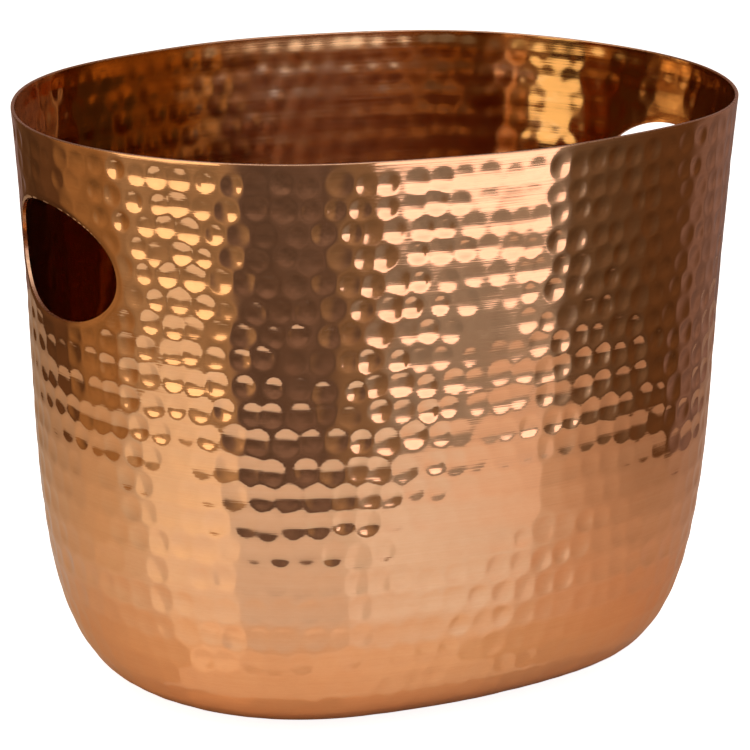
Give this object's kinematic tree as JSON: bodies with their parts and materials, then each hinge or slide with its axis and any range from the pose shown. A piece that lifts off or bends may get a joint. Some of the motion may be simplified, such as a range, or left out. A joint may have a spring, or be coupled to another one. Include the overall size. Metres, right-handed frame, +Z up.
{
  "type": "ice bucket",
  "caption": "Oval single-wall metal ice bucket with a flared hammered wall, a rounded heel and a cut-out hand hole at each end, on small round base pads.",
  "frame": {"origin": "middle of the base, on the surface the bucket stands on", "axes": "+X along the oval's long axis, from hand hole to hand hole; +Y across the bucket; +Z up, out of the mouth"},
  "size_m": [0.32, 0.2528, 0.2507],
  "materials": {
    "hammered_copper": "hammered and polished sheet with a copper-coloured plating, inside and outside",
    "pad_rubber": "matte moulded rubber"
  },
  "bodies": {
    "root": {"bucket_shell": "hammered_copper", "base_pad_front_left": "pad_rubber", "base_pad_front_right": "pad_rubber", "base_pad_back_left": "pad_rubber", "base_pad_back_right": "pad_rubber"}
  },
  "joints": []
}
